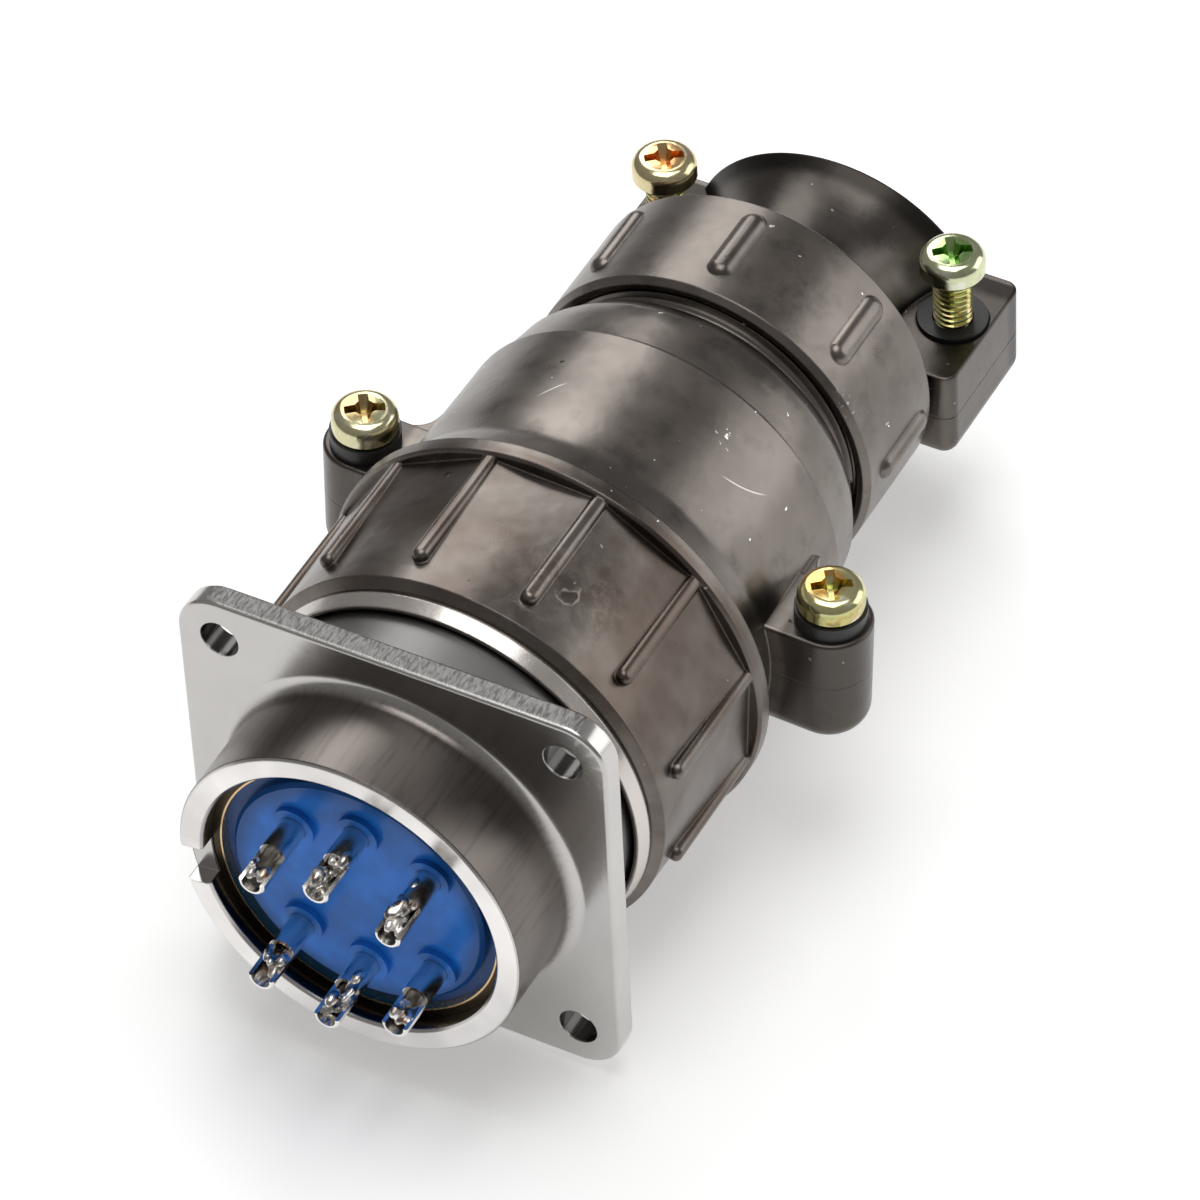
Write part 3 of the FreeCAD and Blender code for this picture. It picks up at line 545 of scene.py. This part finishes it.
def polished_finish(name, colour, rough, mottle=0.15, outside=None):
    """Plated and polished small metal piece, darkened by painted shade beyond the radius given as outside.
    """
    f = Finish(name)
    cloud = f.noise(0.9, 3, 0.6)
    tone = f.mix(cloud, scaled(colour, 1 - mottle), scaled(colour, 1 + mottle))
    if outside:
        # Painted shade darkens the piece beyond that radius
        tone = f.mix(f.zone({"radius": [(outside, outside + 0.06)]}), tone, scaled(colour, 0.06))
    f.set(Base_Color=tone, Metallic=1.0, Roughness=f.scale_up(cloud, 0.15, rough))
    return f.material


def zinc_finish(colour):
    """Yellow zinc plating, whose film turns green, brown and clear in places, with each head's own film."""
    f = Finish("zinc_screw")
    film = f.noise(1.5, 2, 0.5)
    tone = f.ramp(film, (0.3, scaled(colour, 0.55)), (0.42, colour), (0.5, ZINC_GREEN), (0.58, ZINC_BROWN),
                  (0.68, ZINC_CLEAR))
    for screw in SCREWS:
        middle = screw_turn(screw) @ Vector((screw.x, screw.y, HEAD_MIDDLE - screw.start))
        for (radii, heights, share), shade in ((HEAD_FILM, screw.head), (RECESS_FILM, screw.recess)):
            above = f.step(f.measure("up"), *(middle.z + height for height in heights))
            tone = f.mix(f.times(f.spot(middle, *radii, (1, 1, 0)), above, share), tone, shade)
    f.set(Base_Color=tone, Metallic=1.0, Roughness=f.scale_up(film, 0.2, 0.08),
          Normal=f.bump(f.noise(1.3, 2, 0.5), 0.2, 0.12))
    return f.material


def solder_finish(colour):
    """Solder that has run unevenly, part bright and part dull, with flux burnt on in places."""
    f = Finish("solder")
    cloud = f.noise(0.8, 3, 0.6)
    tone = f.mix(f.ramp(cloud, (0.36, 0), (0.56, 1)), scaled(colour, 0.22), scaled(colour, 1.1))
    tone = f.mix(f.ramp(f.noise(1.1, 2, 0.5, f.shifted(5)), (0.56, 0), (0.66, 0.8)), tone, BURNT_FLUX)
    f.set(Base_Color=tone, Metallic=1.0, Roughness=f.scale_up(cloud, 0.35, 0.08),
          Normal=f.bump(f.noise(0.5, 2, 0.5), 0.35, 0.1))
    return f.material


def dark_finish(name, colour, rough):
    """Dark plain finish with a fine grain."""
    f = Finish(name)
    grain = f.noise(0.25, 3, 0.6)
    f.set(Base_Color=f.mix(grain, scaled(colour, 0.6), scaled(colour, 1.4)), Metallic=0.0,
          Roughness=f.scale_up(grain, 0.2, rough), Normal=f.bump(grain, 0.2, 0.02))
    return f.material


def dress(slot, material):
    """Gives the CAD nodes of a slot their finish."""
    for name, its_slot in SLOT_OF.items():
        if its_slot == slot:
            node = frame["nodes"][name]
            node.data.materials.clear()
            node.data.materials.append(material)
            node["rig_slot"] = slot


# Meshes
def linked(name, data):
    """Object in the scene for this data."""
    thing = bpy.data.objects.new(name, data)
    bpy.context.scene.collection.objects.link(thing)
    return thing


def baked(holder):
    """Plain mesh of an object with its modifiers; the object goes."""
    bpy.context.view_layer.update()
    graph = bpy.context.evaluated_depsgraph_get()
    mesh = bpy.data.meshes.new_from_object(holder.evaluated_get(graph))
    bpy.data.objects.remove(holder)
    return mesh


def new_piece(name, mesh, material, body, slot, *stands_for):
    """Object for a finished mesh, riding on a body."""
    mesh.materials.clear()
    mesh.materials.append(material)
    piece = linked(name, mesh)
    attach(piece, body)
    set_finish(piece, slot)
    if stands_for:
        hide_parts(*stands_for)


def started_tree(name, **inputs):
    """Geometry Nodes tree with an input for each size, and the sockets in it that give those sizes."""
    tree = bpy.data.node_groups.new(name, "GeometryNodeTree")
    tree.interface.new_socket("Geometry", in_out="OUTPUT", socket_type="NodeSocketGeometry")
    for key, kind in inputs.items():
        tree.interface.new_socket(key, in_out="INPUT", socket_type="NodeSocket" + kind)
    return tree, tree.nodes.new("NodeGroupInput").outputs


def close_tree(tree, geometry):
    """Realizes what the tree has made, gives it one empty material slot and ends the tree."""
    real = add_node(tree, "GeometryNodeRealizeInstances", Geometry=geometry)
    finished = add_node(tree, "GeometryNodeSetMaterial", Geometry=real.outputs[0])
    add_node(tree, "NodeGroupOutput", Geometry=finished.outputs[0])
    return tree


def grown(tree, **values):
    """Plain mesh that a tree makes with these values for its inputs."""
    holder = linked("grown", bpy.data.meshes.new("grown"))
    modifier = holder.modifiers.new("grown", "NODES")
    modifier.node_group = tree
    for item in tree.interface.items_tree:
        if item.in_out == "INPUT":
            modifier[item.identifier] = values[item.name]
    return baked(holder)


def groove_tree():
    """Closed wedge that follows a helix round +Z; it cuts the groove of a thread."""
    name = "thread_groove"
    if name in bpy.data.node_groups:
        return bpy.data.node_groups[name]
    tree, size = started_tree(name, Radius="Float", Pitch="Float", Turns="Float", Depth="Float", Steps="Int")

    def product(a, b):
        node = add_node(tree, "ShaderNodeMath", operation="MULTIPLY")
        for socket, value in zip(node.inputs, (a, b)):
            if isinstance(value, bpy.types.NodeSocket):
                tree.links.new(value, socket)
            else:
                socket.default_value = value
        return node.outputs[0]

    def corner(out, up):
        return add_node(tree, "ShaderNodeCombineXYZ", X=product(size["Depth"], out),
                        Y=product(size["Pitch"], up)).outputs[0]

    path = add_node(tree, "GeometryNodeCurveSpiral", Resolution=size["Steps"], Rotations=size["Turns"],
                    Start_Radius=size["Radius"], End_Radius=size["Radius"],
                    Height=product(size["Pitch"], size["Turns"]))
    level = add_node(tree, "GeometryNodeSetCurveNormal", mode="Z_UP", Curve=path.outputs[0])
    wedge = add_node(tree, "GeometryNodeCurvePrimitiveQuadrilateral", mode="POINTS",
                     Point_1=corner(1.0, -GROOVE_FOOT), Point_2=corner(1.0, GROOVE_FOOT),
                     Point_3=corner(-GROOVE_CLEARANCE, GROOVE_MOUTH),
                     Point_4=corner(-GROOVE_CLEARANCE, -GROOVE_MOUTH))
    swept = add_node(tree, "GeometryNodeCurveToMesh", Curve=level.outputs[0], Profile_Curve=wedge.outputs[0],
                     Fill_Caps=True)
    return close_tree(tree, swept.outputs[0])


def groove_mesh(thread, start, end, along=(0, 1, 0), foot=(0, 0, 0)):
    """Groove of a thread from start to end of an axis through the foot."""
    mesh = grown(groove_tree(), Radius=thread.radius * MM, Pitch=thread.pitch * MM,
                 Turns=(end - start) / thread.pitch, Depth=thread.depth * MM, Steps=thread.steps)
    turn = Vector((0, 0, 1)).rotation_difference(Vector(along)).to_matrix().to_4x4()
    place = Vector(foot) * MM + Vector(along) * start * MM
    mesh.transform(Matrix.Translation(place) @ turn)
    return mesh


def merged(node):
    """Closed copy of a CAD node's mesh."""
    mesh = frame["nodes"][node].data.copy()
    shape = bmesh.new()
    shape.from_mesh(mesh)
    bmesh.ops.remove_doubles(shape, verts=shape.verts, dist=WELD_GAP * MM)
    bmesh.ops.dissolve_degenerate(shape, edges=shape.edges, dist=SHORTEST_EDGE * MM)
    shape.to_mesh(mesh)
    shape.free()
    for layer in list(mesh.attributes):
        if layer.name == "custom_normal":
            mesh.attributes.remove(layer)
    return mesh


def softened(mesh):
    """Smooth shading between faces that meet at a small angle, led by the large faces."""
    mesh.shade_smooth()
    mesh.set_sharp_from_angle(angle=math.radians(SMOOTH_ANGLE))
    holder = linked("softened", mesh)
    weighted = holder.modifiers.new("weighted", "WEIGHTED_NORMAL")
    weighted.keep_sharp = True
    weighted.weight = LARGE_FACE_WEIGHT
    return baked(holder)


def cut_thread(node, groove, material, slot):
    """Stands for a CAD node with its thread cut; the groove is a closed mesh in place."""
    holder = linked("cut", merged(node))
    cutter = linked("groove", groove)
    cut = holder.modifiers.new("groove", "BOOLEAN")
    cut.operation = "DIFFERENCE"
    cut.solver = "MANIFOLD"
    cut.object = cutter
    mesh = baked(holder)
    bpy.data.objects.remove(cutter)
    if len(mesh.polygons) == 0:
        raise RuntimeError("the thread of " + node + " can't be cut")
    new_piece(node + "_threaded", softened(mesh), material, frame["nodes"][node]["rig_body"], slot, node)


def screw_turn(screw):
    """Turn of a side screw about the connector's axis."""
    turn = BODY_TURN if screw.node.startswith("backshell") else 0.0
    return Matrix.Rotation(math.radians(turn), 4, "Y")


def solder_tree():
    """Lumps of solder: spheres scattered in a box and melted together."""
    tree, size = started_tree("solder", Count="Int", Seed="Int", Low="Vector", High="Vector", Small="Float",
                              Large="Float")
    spread = add_node(tree, "FunctionNodeRandomValue", data_type="FLOAT_VECTOR", Seed=size["Seed"])
    tree.links.new(size["Low"], spread.inputs[0])
    tree.links.new(size["High"], spread.inputs[1])
    girth = add_node(tree, "FunctionNodeRandomValue", data_type="FLOAT", Seed=size["Seed"])
    tree.links.new(size["Small"], girth.inputs[2])
    tree.links.new(size["Large"], girth.inputs[3])
    points = add_node(tree, "GeometryNodePoints", Count=size["Count"], Position=spread.outputs[0],
                      Radius=girth.outputs[1])
    volume = add_node(tree, "GeometryNodePointsToVolume", resolution_mode="VOXEL_SIZE",
                      Points=points.outputs[0], Voxel_Size=LUMP_GRAIN * MM, Density=1.0,
                      Radius=girth.outputs[1])
    skin = add_node(tree, "GeometryNodeVolumeToMesh", Volume=volume.outputs[0], Threshold=0.1)
    place = add_node(tree, "GeometryNodeInputPosition")
    melt = add_node(tree, "GeometryNodeBlurAttribute", data_type="FLOAT_VECTOR", Value=place.outputs[0],
                    Iterations=LUMP_ROUNDING)
    moved = add_node(tree, "GeometryNodeSetPosition", Geometry=skin.outputs[0], Position=melt.outputs[0])
    smooth = add_node(tree, "GeometryNodeSetShadeSmooth", Geometry=moved.outputs[0])
    return close_tree(tree, smooth.outputs[0])


# Operators
class CONNECTOR_OT_receptacle(bpy.types.Operator):
    """Plates the square-flange shell and cuts its coupling thread"""
    bl_idname = "connector.receptacle"
    bl_label = "Receptacle shell"

    def execute(self, context):
        sizes = context.scene.connector_sizes
        finish = bright_plate_finish(context.scene.connector_colours.plated_shell)
        thread = Thread(COUPLING_RADIUS, sizes.thread_pitch / MM, sizes.thread_depth / MM, COUPLING_STEPS)
        groove = groove_mesh(thread, COUPLING_START, COUPLING_END)
        cut_thread("receptacle_shell", groove, finish, "plated_shell")
        return {"FINISHED"}


class CONNECTOR_OT_inserts(bpy.types.Operator):
    """Finishes the inserts, their rings and the cable seal"""
    bl_idname = "connector.inserts"
    bl_label = "Inserts"

    def execute(self, context):
        colours = context.scene.connector_colours
        dress("blue_insert", insert_finish(colours.insert))
        dress("gilt_ring", polished_finish("gilt_ring", colours.gilt, 0.18, outside=RING_SHADE_RADIUS))
        dress("seal_rubber", dark_finish("seal_rubber", SEAL_RUBBER, 0.6))
        dress("washer_metal", polished_finish("washer_metal", WASHER_METAL, 0.3))
        return {"FINISHED"}


class CONNECTOR_OT_contacts(bpy.types.Operator):
    """Plates the contacts and puts solder on their cups"""
    bl_idname = "connector.contacts"
    bl_label = "Contacts"

    def execute(self, context):
        colours = context.scene.connector_colours
        dress("contact_metal", polished_finish("contact_metal", colours.contact, 0.12))
        finish = solder_finish(colours.contact)
        tree = solder_tree()
        (left, low), (right, high) = LUMP_LOW, LUMP_HIGH
        for number, cup in enumerate(SOLDER, 1):
            lumps = grown(tree, Count=cup.count, Seed=cup.seed, Small=LUMP_SMALL * MM, Large=LUMP_LARGE * MM,
                          Low=(left * MM, cup.start / STRETCH * MM, low * MM),
                          High=(right * MM, cup.end / STRETCH * MM, high * MM))
            on_cup = Matrix.Translation((cup.x * MM, 0, cup.z * MM))
            lumps.transform(on_cup @ Matrix.Diagonal((1, STRETCH, 1, 1)))
            body = frame["nodes"]["pin_contact_1"]["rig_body"]
            new_piece("solder_%d" % number, lumps, finish, body, "contact_metal")
        return {"FINISHED"}


class CONNECTOR_OT_plug_metal(bpy.types.Operator):
    """Plates the coupling nut, the plug's body, the back nut and the clamp, and cuts the neck's thread"""
    bl_idname = "connector.plug_metal"
    bl_label = "Plug metal"

    def execute(self, context):
        finish = cast_grey_finish(context.scene.connector_colours.plug_metal)
        dress("plug_metal", finish)
        for half in ("backshell_upper", "backshell_lower"):
            cut_thread(half, groove_mesh(NECK_THREAD, NECK_START, NECK_END), finish, "plug_metal")
        return {"FINISHED"}


class CONNECTOR_OT_screws(bpy.types.Operator):
    """Plates the side screws, cuts their threads and blackens their washers"""
    bl_idname = "connector.screws"
    bl_label = "Screws and washers"

    def execute(self, context):
        finish = zinc_finish(context.scene.connector_colours.zinc)
        for screw in SCREWS:
            groove = groove_mesh(SCREW_THREAD, screw.start, screw.end, (0, 0, -1), (screw.x, screw.y, 0))
            groove.transform(screw_turn(screw))
            cut_thread(screw.node, groove, finish, "zinc_screw")
        dress("black_washer", dark_finish("black_washer", BLACK_OXIDE, 0.3))
        return {"FINISHED"}


def lay_floor():
    """Pale floor just below the part."""
    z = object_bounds()[0].z - FLOOR_GAP
    corners = [(x * FLOOR_REACH, y * FLOOR_REACH, z) for x, y in ((-1, -1), (1, -1), (1, 1), (-1, 1))]
    mesh = bpy.data.meshes.new("floor")
    mesh.from_pydata(corners, [], [(0, 1, 2, 3)])
    f = Finish("floor")
    f.set(Base_Color=FLOOR_TONE, Roughness=0.6, Emission_Color=(1, 1, 1), Emission_Strength=FLOOR_GLOW)
    mesh.materials.append(f.material)
    floor = linked("floor", mesh)
    floor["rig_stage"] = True


def hang_sky(scene):
    """Soft light from all round, a little brighter above."""
    world = bpy.data.worlds.new("studio")
    scene.world = world
    world.use_nodes = True
    tree = world.node_tree
    tree.nodes.clear()
    coords = add_node(tree, "ShaderNodeTexCoord")
    split = add_node(tree, "ShaderNodeSeparateXYZ", Vector=coords.outputs["Generated"])
    ramp = add_node(tree, "ShaderNodeValToRGB", Fac=split.outputs[2])
    low, high = ramp.color_ramp.elements
    low.position, low.color = 0.0, SKY_LOW
    high.position, high.color = 0.7, SKY_HIGH
    shade = add_node(tree, "ShaderNodeBackground", Color=ramp.outputs[0], Strength=SKY_STRENGTH)
    add_node(tree, "ShaderNodeOutputWorld", Surface=shade.outputs[0])


def hang_lights():
    for light in LIGHTS:
        data = bpy.data.lights.new(light.name, "AREA")
        data.shape = "RECTANGLE"
        data.size, data.size_y = light.size
        data.energy = light.power
        place = Vector(MIDDLE) + light.distance * Vector(light.direction)
        aim = (Vector(MIDDLE) - place).to_track_quat("-Z", "Y").to_matrix().to_4x4()
        lamp = linked(light.name, data)
        lamp.matrix_world = Matrix.Translation(place) @ aim
        lamp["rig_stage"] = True


def place_camera(scene):
    """Camera at the photograph's angle."""
    turn, rise, roll = (math.radians(a) for a in (CAMERA_TURN, CAMERA_RISE, CAMERA_ROLL))
    level = Vector((math.cos(turn), math.sin(turn), 0))
    back = Vector((math.sin(turn) * math.cos(rise), -math.cos(turn) * math.cos(rise), math.sin(rise)))
    up = back.cross(level)
    right = math.cos(roll) * level - math.sin(roll) * up
    top = math.sin(roll) * level + math.cos(roll) * up
    place = (-CAMERA_SHIFT[0] * right - CAMERA_SHIFT[1] * top + CAMERA_DISTANCE * back) * MM
    data = bpy.data.cameras.new("camera")
    data.lens = CAMERA_LENS
    data.sensor_width = CAMERA_FILM
    data.clip_start = CAMERA_NEAR * MM
    data.clip_end = CAMERA_FAR * MM
    camera = linked("camera", data)
    camera.matrix_world = Matrix.Translation(place) @ Matrix((right, top, back)).transposed().to_4x4()
    scene.camera = camera
    camera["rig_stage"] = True


class CONNECTOR_OT_stage(bpy.types.Operator):
    """Sets up the floor, the lights and the camera"""
    bl_idname = "connector.stage"
    bl_label = "Stage"

    def execute(self, context):
        lay_floor()
        hang_sky(context.scene)
        hang_lights()
        place_camera(context.scene)
        context.scene.view_settings.view_transform = "Standard"
        return {"FINISHED"}


class CONNECTOR_PT_panel(bpy.types.Panel):
    """Lists the connector's settings and steps"""
    bl_idname = "CONNECTOR_PT_panel"
    bl_label = "Connector"
    bl_space_type = "VIEW_3D"
    bl_region_type = "UI"
    bl_category = "Connector"

    def draw(self, context):
        layout = self.layout
        for group in (context.scene.connector_colours, context.scene.connector_sizes):
            box = layout.box()
            for name in group.bl_rna.properties.keys():
                if name not in ("rna_type", "name"):
                    box.prop(group, name)
        for operator in OPERATORS:
            layout.operator(operator.bl_idname)


OPERATORS = (
    CONNECTOR_OT_receptacle,
    CONNECTOR_OT_inserts,
    CONNECTOR_OT_contacts,
    CONNECTOR_OT_plug_metal,
    CONNECTOR_OT_screws,
    CONNECTOR_OT_stage,
)
CLASSES = (ConnectorColours, ConnectorSizes, *OPERATORS, CONNECTOR_PT_panel)


def register():
    for cls in CLASSES:
        bpy.utils.register_class(cls)
    bpy.types.Scene.connector_colours = bpy.props.PointerProperty(type=ConnectorColours)
    bpy.types.Scene.connector_sizes = bpy.props.PointerProperty(type=ConnectorSizes)


def unregister():
    del bpy.types.Scene.connector_sizes
    del bpy.types.Scene.connector_colours
    for cls in reversed(CLASSES):
        bpy.utils.unregister_class(cls)


def main():
    register()
    for operator in OPERATORS:
        group, name = operator.bl_idname.split(".")
        getattr(getattr(bpy.ops, group), name)()


if __name__ == "__main__":
    main()
